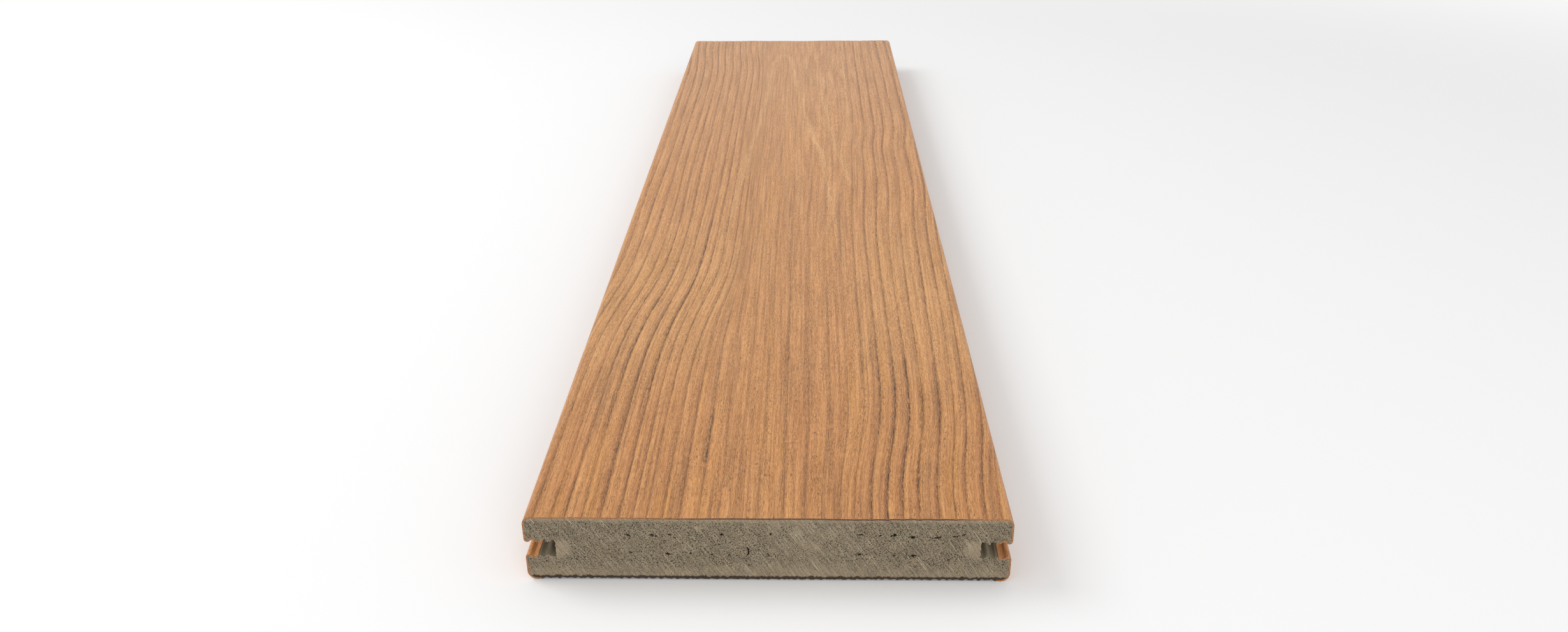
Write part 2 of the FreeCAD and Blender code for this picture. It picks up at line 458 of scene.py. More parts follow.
def make_piece(name, node, places, groups):
    """A piece that stands for a node. Groups pair a material with the faces that have it."""
    mesh = bpy.data.meshes.new(name)
    faces, material_numbers = [], []
    for number, (material, group) in enumerate(groups):
        mesh.materials.append(material)
        faces += group
        material_numbers += [number] * len(group)
    mesh.from_pydata(places.tolist(), [], faces)
    mesh.polygons.foreach_set("material_index", material_numbers)
    mesh.polygons.foreach_set("use_smooth", [True] * len(faces))
    mesh.set_sharp_from_angle(angle=SHARP_ANGLE)
    piece = bpy.data.objects.new(name, mesh)
    bpy.context.scene.collection.objects.link(piece)
    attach(piece, "root")
    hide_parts(node)
    return piece


def give_attribute(piece, name, kind, values):
    """Stores values on the corners of a piece for its material to read."""
    attribute = piece.data.attributes.new(name, kind, "POINT")
    field = "vector" if kind == "FLOAT_VECTOR" else "value"
    attribute.data.foreach_set(field, np.ascontiguousarray(values, dtype=np.float32).ravel())


def rows_along():
    """The places of the fine rows, from the near end to the far end."""
    shares = np.linspace(0.0, 1.0, FINE_ROWS) ** ROW_CROWDING
    return NEAR_END + (FAR_END - NEAR_END) * shares


def cap_faces(rows, columns):
    """The faces of a cap's outside, and then those of its inside, its sawn ends and its edges."""
    coarse_rows = (rows - 1) // ROWS_PER_COARSE_ROW + 1
    inner = rows * columns
    last_out = inner - columns
    last_in = inner + (coarse_rows - 1) * columns
    others = [face[::-1] for face in strip(coarse_rows, columns, inner)]
    for column in range(columns - 1):
        near = [column, column + 1, inner + column + 1, inner + column]
        far = [last_out + column, last_out + column + 1, last_in + column + 1, last_in + column]
        others += [near, far[::-1]]
    for number in range(coarse_rows - 1):
        out_rows = range(number * ROWS_PER_COARSE_ROW, (number + 1) * ROWS_PER_COARSE_ROW + 1)
        in_rows = [number + 1, number]
        for column, turn in ((0, -1), (columns - 1, 1)):
            edge = [row * columns + column for row in out_rows]
            edge += [inner + row * columns + column for row in in_rows]
            others.append(edge[::turn])
    return strip(rows, columns), others


def with_inside(values):
    """Values for each corner of a cap: the outside's, then its coarse rows' again for the inside."""
    again = values[::ROWS_PER_COARSE_ROW]
    size = values[0, 0].size
    return np.concatenate([values.reshape(-1, size), again.reshape(-1, size)])


def store_grain(piece, path, moved, fine_rows, begins):
    """Stores the grain on a cap as if its outside lay unrolled, the top's middle at 0.

    Moved is how far right each place has been carried. Begins is where a lip's path then begins.
    """
    lengths = np.linalg.norm(np.diff(path, axis=0), axis=1)
    travelled = np.concatenate([[0.0], np.cumsum(lengths)])
    is_top_cap = begins is None
    start = np.interp(0.0, -path[:, 0], travelled) if is_top_cap else begins
    unrolled = start - travelled
    line = line_through(unrolled + moved, fine_rows)
    row = np.broadcast_to(fine_rows[:, None], line.shape)
    on_top = (np.abs(unrolled) < HALF_WIDTH) & is_top_cap
    notches = notched(line) * np.where(on_top, 1.0, SIDE_NOTCHES)
    darkness = streaks(line, row) * np.where(on_top, 1.0, SIDE_STREAKS)
    grain = np.stack([line, row, np.zeros_like(line)], axis=2)
    give_attribute(piece, "grain", "FLOAT_VECTOR", with_inside(grain))
    give_attribute(piece, "ring", "FLOAT", with_inside(ring_number(line)))
    give_attribute(piece, "notched", "FLOAT", with_inside(notches))
    give_attribute(piece, "streak", "FLOAT", with_inside(darkness))
    give_attribute(piece, "arch", "FLOAT", with_inside(arches(unrolled + moved, row)))


def make_cap(name, node, core, fine_rows, begins, surface, cut):
    """A cap with its outside in fine rows, its inside in coarse ones, and sawn ends."""
    path = divided(outer_path(node, core), CAP_STEP)
    inward = -CAP_THICKNESS * outward(path)
    coarse_rows = fine_rows[::ROWS_PER_COARSE_ROW]
    out_x, out_z = embossed(path, fine_rows)
    in_x, in_z = embossed(path, coarse_rows)
    outer_corners = corners(out_x, out_z, fine_rows)
    inner_corners = corners(in_x + inward[:, 0], in_z + inward[:, 1], coarse_rows)
    outside, others = cap_faces(len(fine_rows), len(path))
    places = np.vstack([outer_corners, inner_corners])
    piece = make_piece(name, node, places, [(surface, outside), (cut, others)])
    store_grain(piece, path, out_x - path[:, 0], fine_rows, begins)


def rib_lift(x, y):
    """How far the ribbed underside lies above the floor."""
    phase = (x + RIB_SWAY * RIB_WANDER(x, y)) / RIB_PITCH
    valley = np.abs(np.cos(math.pi * phase)) ** RIB_SHARPNESS
    size = FLAT_STRIP_SHARE + (1.0 - FLAT_STRIP_SHARE) * smooth(np.abs(x), *FLAT_STRIP)
    ribs = RIB_DEPTH * size * valley * (0.8 + 0.2 * RIB_SIZE(x, y))
    to_end = np.minimum(y - NEAR_END, FAR_END - y)
    chipped = 1.0 - smooth(to_end, 0.0, CHIP_LENGTH)
    chips = CHIP_HEIGHT * chipped * (0.8 + 0.3 * RIB_SIZE(3.0 * x, y))
    return (ribs + chips).clip(0.0)


def void_depth(x, z, voids):
    """How deep each place of a sawn end is hollowed by the foam's larger voids."""
    depth = np.zeros_like(x)
    for across, height, half_length, half_height, slope, deep in voids:
        turn = math.atan(slope)
        forward = (x - across) * math.cos(turn) + (z - height) * math.sin(turn)
        upward = (z - height) * math.cos(turn) - (x - across) * math.sin(turn)
        reach = np.hypot(forward / half_length, upward / half_height)
        reach = reach + VOID_RAGGEDNESS * VOID_EDGE(x, z)
        depth = np.maximum(depth, deep * (1.0 - smooth(reach, *VOID_WALL)))
    return depth


def crescent_depth(x, z):
    """How deep each place is hollowed by the curved void, which opens to the left."""
    centre_x, centre_z, radius, half_height = CRESCENT
    off = np.abs(np.hypot(x - centre_x, z - centre_z) - radius)
    past_tip = smooth(np.abs(z - centre_z), half_height - CRESCENT_SOFT_END, half_height)
    on_right = np.where(x > centre_x, 1.0, 0.0)
    wall = smooth(off, CRESCENT_FLOOR_SHARE * CRESCENT_HALF_WIDTH, CRESCENT_HALF_WIDTH)
    return CRESCENT_DEPTH * on_right * (1.0 - past_tip) * (1.0 - wall)


def scattered(step, seed):
    """Places over the whole section, on a grid whose points are shifted at random."""
    chance = np.random.default_rng(seed)
    x, z = np.meshgrid(np.arange(-HALF_WIDTH, HALF_WIDTH, step), np.arange(0.0, TOP, step))
    places = np.column_stack([x.ravel(), z.ravel()])
    return places + chance.uniform(-POINT_SHIFT, POINT_SHIFT, places.shape) * step


def near_void(places, voids):
    """Whether each place is in a void or close to one."""
    x, z = places.T
    grown = [
        (across, height, half_length + VOID_MARGIN, half_height + VOID_MARGIN, slope, 1.0)
        for across, height, half_length, half_height, slope, deep in voids
    ]
    centre_x, centre_z, radius, half_height = CRESCENT
    off = np.abs(np.hypot(x - centre_x, z - centre_z) - radius)
    by_crescent = (off < VOID_MARGIN) & (x > centre_x) & (np.abs(z - centre_z) < half_height)
    return (void_depth(x, z, grown) > VOID_TRACE) | by_crescent


def fill_outline(outline, voids, seed):
    """Extra places inside an outline, crowded round the voids, and the triangles between all."""
    coarse = scattered(FOAM_POINT_STEP, seed)
    fine = scattered(VOID_POINT_STEP, seed + 1)
    candidates = np.vstack([coarse[~near_void(coarse, voids)], fine[near_void(fine, voids)]])
    tree = kdtree.KDTree(len(outline))
    for number, (x, z) in enumerate(outline):
        tree.insert((x, z, 0.0), number)
    tree.balance()
    clear = [place for place in candidates if tree.find((*place, 0.0))[2] > EDGE_CLEARANCE]
    everything = [Vector(place) for place in outline] + [Vector(place) for place in clear]
    sides = [(number, (number + 1) % len(outline)) for number in range(len(outline))]
    found = geometry.delaunay_2d_cdt(everything, sides, [], 0, SAME_PLACE, True)
    faces, originals = found[2], found[3]
    triangles = np.array([[originals[index][0] for index in face] for face in faces])
    flat = np.array([tuple(place) for place in everything])
    triangles = triangles[inside(outline, flat[triangles].mean(1))]
    extra = np.unique(triangles[triangles >= len(outline)])
    renumbered = np.arange(len(everything))
    renumbered[extra] = len(outline) + np.arange(len(extra))
    return flat[extra], renumbered[triangles]


def worn_sides(loop, along):
    """The core's sides at each place along it, torn in the grooves and ribbed underneath."""
    x, z = embossed(loop, along)
    y = along[:, None]
    under = (loop[:, 1] < SAME_PLACE) & (np.abs(loop[:, 0]) < BARE_HALF_WIDTH - SAME_PLACE)
    z = z + np.where(under, rib_lift(x, y), 0.0)
    away = outward(np.vstack([loop[-1:], loop, loop[:1]]))[1:-1]
    from_middle = np.abs(loop[:, 1] - GROOVE_MIDDLE)
    bare = (from_middle < BARE_GROOVE_HALF_HEIGHT) & (np.abs(loop[:, 0]) < BARE_GROOVE_BEGINS)
    run = np.cumsum(np.linalg.norm(np.diff(loop, axis=0, prepend=loop[:1]), axis=1))
    at_end = (y == NEAR_END) | (y == FAR_END)
    tear = TORN_SURFACE * TORN(run, y)
    tear = tear + np.where(at_end, TORN_END * CRUMBLED(run, y), 0.0)
    x = x + np.where(bare, away[:, 0] * tear, 0.0)
    z = z + np.where(bare, away[:, 1] * tear, 0.0)
    return x, z


def make_core(fine_rows, core, sawn, drawn):
    """The foam core: torn grooves, a ribbed underside and two sawn ends with voids."""
    loop = divided(np.vstack([core, core[:1]]), CORE_STEP)[:-1]
    coarse_rows = fine_rows[::ROWS_PER_COARSE_ROW]
    near_rows = [NEAR_END, NEAR_END + CHIP_LENGTH]
    far_rows = [FAR_END - CHIP_LENGTH, FAR_END]
    along = np.concatenate([near_rows, coarse_rows[1:-1], far_rows])
    x, z = worn_sides(loop, along)
    count = x.size
    places = [corners(x, z, along)]
    hollows = [np.zeros(count)]
    ends = []
    far_voids = [(-across, *rest) for across, *rest in NEAR_VOIDS]
    for place, row, voids, inward, seed in (
        (NEAR_END, 0, NEAR_VOIDS, 1.0, 41),
        (FAR_END, len(along) - 1, far_voids, -1.0, 43),
    ):
        extra, triangles = fill_outline(np.column_stack([x[row], z[row]]), voids, seed)
        deep = np.maximum(void_depth(*extra.T, voids), crescent_depth(*extra.T))
        rough = FOAM_ROUGHNESS * np.random.default_rng(seed + 2).uniform(0.0, 1.0, len(extra))
        end_y = place + inward * (deep + rough)
        places.append(np.column_stack([extra[:, 0], end_y, extra[:, 1]]) * MM)
        hollows.append(deep)
        on_outline = triangles < len(loop)
        numbers = triangles + np.where(on_outline, row * len(loop), count - len(loop))
        ends += (numbers if inward > 0 else numbers[:, ::-1]).tolist()
        count += len(extra)
    surfaces = [(drawn, strip(len(along), len(loop), closed=True)), (sawn, ends)]
    piece = make_piece("foam_core_sawn", "foam_core", np.vstack(places), surfaces)
    give_attribute(piece, "hollow", "FLOAT", np.concatenate(hollows))


def display(red, green, blue):
    """A colour as a screen shows it, from 0 to 255, in the linear values that nodes take."""
    shares = [value / 255 for value in (red, green, blue)]
    linear = [s / 12.92 if s <= 0.04045 else ((s + 0.055) / 1.055) ** 2.4 for s in shares]
    return (*linear, 1.0)


DARK_BROWN = display(80, 51, 31)


class Nodes:
    """A tree of shader nodes, built by calls that read like formulas."""

    # The mix node's sockets for colours.
    MIX_FACTOR, MIX_FIRST, MIX_SECOND, MIX_RESULT = 0, 6, 7, 2

    def __init__(self, tree):
        self.tree = tree

    def put(self, socket, value):
        """Links a value to a socket, or sets the socket to a plain number."""
        if isinstance(value, bpy.types.NodeSocket):
            self.tree.links.new(value, socket)
        else:
            socket.default_value = value

    def attribute(self, name, output="Fac"):
        """What the mesh stores under a name."""
        node = self.tree.nodes.new("ShaderNodeAttribute")
        node.attribute_name = name
        return node.outputs[output]

    def object_place(self):
        """The place on the object, in millimetres."""
        node = self.tree.nodes.new("ShaderNodeTexCoord")
        return self.stretched(node.outputs["Object"], MM, MM, MM)

    def maths(self, operation, *values):
        """One step of arithmetic."""
        node = self.tree.nodes.new("ShaderNodeMath")
        node.operation = operation
        for socket, value in zip(node.inputs, values):
            self.put(socket, value)
        return node.outputs[0]

    def plus(self, first, second):
        """The sum of two values."""
        return self.maths("ADD", first, second)

    def times(self, first, second):
        """The product of two values."""
        return self.maths("MULTIPLY", first, second)

    def part(self, place, axis):
        """One of the three numbers of a place."""
        node = self.tree.nodes.new("ShaderNodeSeparateXYZ")
        self.put(node.inputs[0], place)
        return node.outputs[axis]

    def place(self, *numbers):
        """A place, or a colour, made of three numbers."""
        node = self.tree.nodes.new("ShaderNodeCombineXYZ")
        for socket, number in zip(node.inputs, numbers):
            self.put(socket, number)
        return node.outputs[0]

    def stretched(self, place, across, along, up=1.0):
        """The place counted in steps of these lengths."""
        node = self.tree.nodes.new("ShaderNodeVectorMath")
        node.operation = "DIVIDE"
        self.put(node.inputs[0], place)
        self.put(node.inputs[1], (across, along, up))
        return node.outputs[0]

    def noise(self, place, detail=2.0, roughness=0.5, distortion=0.0):
        """Cloudy noise, mostly between 0.3 and 0.7, whose clouds are about one step across."""
        node = self.tree.nodes.new("ShaderNodeTexNoise")
        self.put(node.inputs["Vector"], place)
        self.put(node.inputs["Scale"], 1.0)
        self.put(node.inputs["Detail"], detail)
        self.put(node.inputs["Roughness"], roughness)
        self.put(node.inputs["Distortion"], distortion)
        return node.outputs["Fac"]

    def span(self, value, low, high, first=0.0, last=1.0):
        """Goes smoothly from first to last as the value goes from low to high, and stays there."""
        node = self.tree.nodes.new("ShaderNodeMapRange")
        node.interpolation_type = "SMOOTHSTEP"
        for socket, number in zip(node.inputs, (value, low, high, first, last)):
            self.put(socket, number)
        return node.outputs[0]

    def blend(self, amount, first, second, way="MIX"):
        """A colour that turns from the first to the second as the amount goes from 0 to 1."""
        node = self.tree.nodes.new("ShaderNodeMix")
        node.data_type = "RGBA"
        node.blend_type = way
        self.put(node.inputs[self.MIX_FACTOR], amount)
        self.put(node.inputs[self.MIX_FIRST], first)
        self.put(node.inputs[self.MIX_SECOND], second)
        return node.outputs[self.MIX_RESULT]

    def seen_directly(self):
        """1 for what the camera sees, also in gloss or through something clear."""
        rays = self.tree.nodes.new("ShaderNodeLightPath").outputs
        either = self.maths("MAXIMUM", rays["Is Camera Ray"], rays["Is Glossy Ray"])
        return self.maths("MAXIMUM", either, rays["Is Transmission Ray"])


class Recipe(Nodes):
    """A material with one shader, and the nodes that lead to it."""

    def __init__(self, name):
        self.material = bpy.data.materials.new(name)
        self.material.use_nodes = True
        super().__init__(self.material.node_tree)
        self.shader = self.tree.nodes["Principled BSDF"]

    def bump(self, height, depth_mm):
        """Adds relief too fine for the mesh."""
        node = self.tree.nodes.new("ShaderNodeBump")
        self.put(node.inputs["Height"], height)
        node.inputs["Distance"].default_value = depth_mm * MM
        self.put(self.shader.inputs["Normal"], node.outputs[0])

    def finish(self, colour, roughness):
        """Joins the last colour and roughness to the shader."""
        self.put(self.shader.inputs["Base Color"], colour)
        self.put(self.shader.inputs["Roughness"], roughness)
        return self.material


def wood_colour(m, grain, ring, side):
    """The colour under the fine grain: bands and patches of gold, rose, grey brown and ochre."""
    along = m.part(grain, 1)
    golden = display(209, 149, 89)
    rosy = display(188, 127, 77)
    grey_brown = display(157, 109, 66)
    ochre = display(198, 138, 70)
    broad = m.noise(m.stretched(grain, 7.0, 190.0), 2.0)
    middle_tone = m.blend(m.span(broad, 0.30, 0.70, 0.25, 0.85), golden, rosy)
    # Golden to rosy across each ring: partly the cap's own tone, partly painted light on the lit
    # flank of each ridge and painted shade on the other flank.
    ring_place = m.place(m.times(m.maths("FLOOR", ring), 7.3), m.maths("DIVIDE", along, 70.0), 0.0)
    own = m.times(m.maths("SUBTRACT", m.noise(ring_place, 1.0), 0.5), 0.9)
    flank_tone_and_shade = m.span(m.plus(m.maths("FRACT", ring), own), 0.05, 0.9)
    colour = m.blend(m.times(side, 0.55), middle_tone, m.blend(flank_tone_and_shade, golden, rosy))
    bands = m.noise(m.stretched(grain, 0.95, 120.0), 2.0, 0.6)
    colour = m.blend(m.span(bands, 0.52, 0.64, 0.0, 0.55), colour, grey_brown)
    colour = m.blend(m.span(bands, 0.46, 0.34, 0.0, 0.4), colour, golden)
    patches = m.noise(m.stretched(grain, 5.0, 80.0), 2.0)
    colour = m.blend(m.span(patches, 0.54, 0.8, 0.0, 0.6), colour, grey_brown)
    colour = m.blend(m.span(patches, 0.46, 0.2, 0.0, 0.8), colour, ochre)
    colour = m.blend(m.times(m.attribute("arch"), 0.9), colour, display(218, 166, 109))
    # Lighter going away from the near end, and paler towards the far end: painted light and painted
    # sheen of the grazing view along the board.
    colour = m.blend(m.span(along, -290.0, -120.0, 0.0, 0.35), colour, display(209, 155, 103))
    colour = m.blend(m.span(along, -40.0, 289.0, 0.0, 0.25), colour, display(206, 165, 130))
    # A lighter patch in the middle distance, where the rings are notched: painted light.
    painted_light_patch = m.times(m.span(along, -235.0, -165.0, 0.0, 0.26), m.span(along, -130.0, -20.0, 1.0, 0.0))
    return m.blend(m.times(painted_light_patch, side), colour, display(222, 170, 110))


def fibre_specks(m, grain):
    """Fine light and dark specks, more of them on some patches than on others."""
    noise = m.noise(m.stretched(grain, 0.22, 0.8), 2.0, 0.7)
    rough_patch = m.noise(m.stretched(grain, 2.2, 16.0), 2.0)
    share = m.span(rough_patch, 0.40, 0.66, 0.25, 1.0)
    return m.times(m.maths("SUBTRACT", m.span(noise, 0.3, 0.7), 0.5), share)


def shaded(m, grain, colour, fibre_lines, specks):
    """The colour, lighter and darker by its fibres, specks and crumbs."""
    shade = m.span(fibre_lines, 0.38, 0.62, 0.71, 1.23)
    shade = m.plus(shade, m.times(specks, 0.52))
    crumbs = m.noise(m.stretched(grain, 0.28, 2.4), 2.0, 0.6)
    shade = m.plus(shade, m.span(crumbs, 0.3, 0.7, -0.18, 0.18))
    tones = m.place(m.maths("POWER", shade, 0.8), shade, m.maths("POWER", shade, 1.4))
    return m.blend(1.0, colour, tones, "MULTIPLY")


def dark_pores(m, grain, nearness):
    """How much of a short dark pore each place has, clearest at the near end."""
    noise = m.noise(m.stretched(grain, 0.14, 2.0), 2.0, 0.6)
    patch = m.noise(m.stretched(grain, 1.9, 40.0), 2.0)
    pores = m.times(m.span(noise, 0.57, 0.66), m.span(patch, 0.44, 0.62))
    return m.times(pores, m.times(nearness, 0.72))


def lined(m, grain, ring, side, nearness, colour):
    """The colour with a line at each ring and the dark streaks, and how deep the streaks are."""
    line_brown = display(126, 81, 43)
    nearly_black = display(44, 29, 19)
    along = m.part(grain, 1)
    whole = m.maths("FLOOR", ring)
    wiggle = m.noise(m.stretched(grain, 1.3, 8.0), 2.0)
    wavy = m.maths("FRACT", m.plus(ring, m.times(m.maths("SUBTRACT", wiggle, 0.5), 0.16)))
    before = m.maths("SUBTRACT", 1.0, wavy)
    to_line = m.maths("MINIMUM", before, m.times(wavy, 2.6))

    gaps = m.noise(m.stretched(grain, 0.5, 5.0), 3.0, 0.7)
    broken = m.span(gaps, 0.42, 0.60, 0.2, 1.0)
    spread = m.span(along, -200.0, 60.0, 1.0, 2.4)
    weight = m.noise(m.place(m.times(whole, 5.7), m.maths("DIVIDE", along, 150.0), 2.0), 1.0)
    weight = m.times(m.span(weight, 0.36, 0.60, 0.3, 1.0), m.span(along, -240.0, -120.0, 0.42, 0.82))
    # A darker line at each ring where the rings are notched: partly the grain's own dark line,
    # partly painted shade in the notch.
    line = m.span(m.maths("DIVIDE", to_line, spread), 0.12, 0.02)
    line = m.times(m.times(line, weight), m.times(side, broken))
    colour = m.blend(line, colour, line_brown)

    fading = m.noise(m.place(m.times(whole, 3.1), m.maths("DIVIDE", along, 34.0), 4.0), 2.0)
    strength = m.times(m.attribute("streak"), m.span(fading, 0.30, 0.55, 0.4, 1.0))
    strength = m.times(strength, nearness)
    dusk = m.times(m.span(to_line, 0.24, 0.0), m.times(strength, 0.18))
    colour = m.blend(dusk, colour, DARK_BROWN)
    dash_noise = m.noise(m.stretched(grain, 0.16, 2.8), 2.0, 0.65)
    dashes = m.times(m.span(dash_noise, 0.50, 0.55), m.span(to_line, 0.36, 0.04))
    colour = m.blend(m.times(dashes, m.times(strength, 0.85)), colour, DARK_BROWN)
    breaks = m.noise(m.stretched(grain, 0.4, 6.0), 3.0, 0.7)
    width = m.span(breaks, 0.34, 0.70, 0.015, 0.11)
    thread = m.maths("SUBTRACT", 1.0, m.span(m.maths("DIVIDE", to_line, width), 0.4, 1.0))
    streak = m.times(m.times(thread, strength), m.span(gaps, 0.46, 0.54, 0.1, 1.0))
    colour = m.blend(streak, colour, nearly_black)
    return colour, m.plus(streak, m.times(dashes, strength))


def grained_cap():
    """The embossed wood grain: rings, fibres, pores, dark streaks and pale flecks."""
    m = Recipe("grained_cap")
    grain = m.attribute("grain", "Vector")
    ring = m.attribute("ring")
    side = m.attribute("notched")
    nearness = m.span(m.part(grain, 1), -220.0, 160.0, 1.0, 0.4)
    fibres = m.noise(m.stretched(grain, 0.26, 7.0), 4.0, 0.72)
    bundles = m.noise(m.stretched(grain, 0.9, 42.0), 2.0, 0.6)
    fibre_lines = m.plus(m.times(fibres, 0.6), m.times(bundles, 0.4))
    specks = fibre_specks(m, grain)
    pores = dark_pores(m, grain, nearness)

    colour = wood_colour(m, grain, ring, side)
    colour = shaded(m, grain, colour, fibre_lines, specks)
    colour = m.blend(pores, colour, DARK_BROWN)
    colour, streak_depth = lined(m, grain, ring, side, nearness, colour)
    fleck_noise = m.noise(m.stretched(grain, 0.24, 0.7), 1.0)
    flecks = m.span(fleck_noise, 0.69, 0.78, 0.0, 0.6)
    colour = m.blend(flecks, colour, display(232, 190, 142))

    height = m.plus(m.times(fibre_lines, 0.8), m.times(pores, -0.8))
    height = m.plus(height, m.times(streak_depth, -1.2))
    height = m.plus(height, m.times(specks, 0.5))
    m.bump(height, 0.15)
    m.shader.inputs["IOR"].default_value = 1.39
    m.shader.inputs["Sheen Weight"].default_value = 0.05
    m.shader.inputs["Sheen Roughness"].default_value = 0.4
    return m.finish(colour, m.span(fibres, 0.3, 0.7, 0.44, 0.60))


def cut_cap():
    """The sawn edge of the cap, darker than its face and smeared by the blade."""
    m = Recipe("cut_cap")
    place = m.object_place()
    smear = m.noise(m.stretched(place, 0.8, 1.0, 0.4), 3.0, 0.6)
    brown = m.blend(m.span(smear, 0.35, 0.65), display(62, 39, 25), display(104, 68, 43))
    tan = m.blend(m.span(smear, 0.35, 0.65), display(118, 79, 48), display(166, 116, 73))
    x = m.part(place, 0)
    # Darker across the middle of the board, lighter towards the sides.
    darker_middle = m.times(m.span(x, -46.0, -12.0), m.span(x, 64.0, 50.0))
    colour = m.blend(darker_middle, tan, brown)
    m.bump(smear, 0.05)
    return m.finish(colour, m.span(smear, 0.3, 0.7, 0.55, 0.75))


def pore_crowd(m, place):
    """How close together the sawn foam's pores are: fewer by the skins, grooves and low edge."""
    x = m.part(place, 0)
    height = m.part(place, 2)
    patches = m.span(m.noise(m.stretched(place, 5.5, 37.0, 4.0), 3.0, 0.6), 0.36, 0.64, 0.76, 1.0)
    clumps = m.span(m.noise(m.stretched(place, 1.7, 40.0, 1.3), 2.0, 0.6), 0.36, 0.62, 0.9, 1.0)
    top_skin = m.span(height, TOP - 2.4, TOP - 0.8, 1.0, 0.5)
    low_skin = m.span(height, 1.2, 8.0, 0.55, 1.0)
    from_calm = m.maths("ABSOLUTE", m.maths("SUBTRACT", x, CALM_FOAM))
    calm_middle = m.span(from_calm, 5.0, 18.0, 0.75, 1.0)
    aside = m.maths("SUBTRACT", m.maths("ABSOLUTE", x), BEHIND_GROOVE)
    above = m.maths("SUBTRACT", height, GROOVE_MIDDLE)
    squares = m.plus(m.maths("POWER", aside, 2.0), m.maths("POWER", above, 2.0))
    by_groove = m.span(m.maths("SQRT", squares), 1.0, 5.2, 0.35, 1.0)
    crowd = m.times(m.times(patches, clumps), by_groove)
    return m.times(crowd, m.times(top_skin, m.times(low_skin, calm_middle)))


def sawn_foam():
    """Foam cut across: patches of small dark pores, smooth skins and slanting saw marks."""
    m = Recipe("sawn_foam")
    place = m.object_place()
    x = m.part(place, 0)
    height = m.part(place, 2)
    over_marks = m.plus(m.times(x, math.sin(SAW_SLANT)), m.times(height, math.cos(SAW_SLANT)))
    with_marks = m.plus(m.times(x, -math.cos(SAW_SLANT)), m.times(height, math.sin(SAW_SLANT)))

    def by_marks(over, offset, along):
        """The place in steps across and along the saw marks, moved by an offset."""
        return m.place(m.times(over_marks, over), offset, m.times(with_marks, along))

    marks = m.span(m.noise(by_marks(3.7, 0.0, 0.07), 2.0, 0.6), 0.56, 0.63)
    marks = m.times(marks, m.span(m.noise(by_marks(0.5, 9.0, 0.2), 1.0), 0.35, 0.6))
    crowd = pore_crowd(m, place)
    limit = m.plus(m.span(crowd, 0.0, 1.0, 0.66, 0.560), m.times(marks, 0.06))
    pore_noise = m.noise(by_marks(4.4, 0.0, 2.9), 2.0, 0.6, 0.6)
    pores = m.span(m.maths("SUBTRACT", pore_noise, limit), 0.0, 0.03)
    fine_noise = m.noise(by_marks(9.0, 7.0, 6.0), 1.0, 0.5, 0.6)
    specks = m.span(m.maths("SUBTRACT", fine_noise, limit), 0.02, 0.05, 0.0, 0.7)
    large_noise = m.noise(by_marks(2.4, 5.0, 1.9), 1.0, 0.5, 0.5)
    large = m.times(m.span(large_noise, 0.62, 0.64), m.span(crowd, 0.45, 0.8))
    dark = m.maths("MAXIMUM", large, m.maths("MAXIMUM", pores, specks))

    body = m.noise(m.stretched(place, 9.0, 40.0, 6.0), 3.0)
    colour = m.blend(m.span(body, 0.3, 0.7), display(136, 121, 98), display(143, 127, 103))
    bands = m.noise(by_marks(0.75, 0.0, 0.04), 3.0, 0.7)
    colour = m.blend(m.span(bands, 0.44, 0.64, 0.0, 0.5), colour, display(146, 134, 112))
    colour = m.blend(m.times(marks, 0.62), colour, display(178, 165, 140))
    tone = m.span(m.noise(by_marks(1.9, 2.0, 0.18), 3.0, 0.7), 0.36, 0.64, 0.78, 1.19)
    colour = m.blend(1.0, colour, m.place(tone, tone, tone), "MULTIPLY")
    grit = m.noise(m.place(m.times(x, 8.0), 3.0, m.times(height, 8.0)), 2.0)
    colour = m.blend(m.span(grit, 0.55, 0.75, 0.0, 0.45), colour, display(170, 159, 136))
    colour = m.blend(m.times(dark, 0.95), colour, display(40, 34, 25))

    # A reddish-brown burr along the low edge of the sawn end.
    ragged = m.noise(m.place(m.times(x, 0.45), 5.0, 0.0), 5.0, 0.75)
    burr_top = m.span(ragged, 0.3, 0.7, 1.1, 2.0)
    burr = m.maths("LESS_THAN", height, burr_top)
    colour = m.blend(m.times(burr, 0.6), colour, display(112, 76, 52))
    # Below the burr, a dark strip along the low edge: painted shadow of the gap under the board.
    shadow_strip = m.maths("LESS_THAN", height, m.maths("SUBTRACT", burr_top, 0.2))
    colour = m.blend(m.times(shadow_strip, 0.92), colour, display(43, 35, 24))
    # Darker the deeper the void: painted shade in the voids.
    colour = m.blend(m.span(m.attribute("hollow"), 0.12, 0.45), colour, display(24, 21, 15))

    relief_height = m.plus(m.times(dark, -1.0), m.times(grit, 0.25))
    relief_height = m.plus(relief_height, m.times(marks, -0.35))
    m.bump(relief_height, 0.16)
    m.shader.inputs["IOR"].default_value = 1.42
    return m.finish(colour, 0.82)


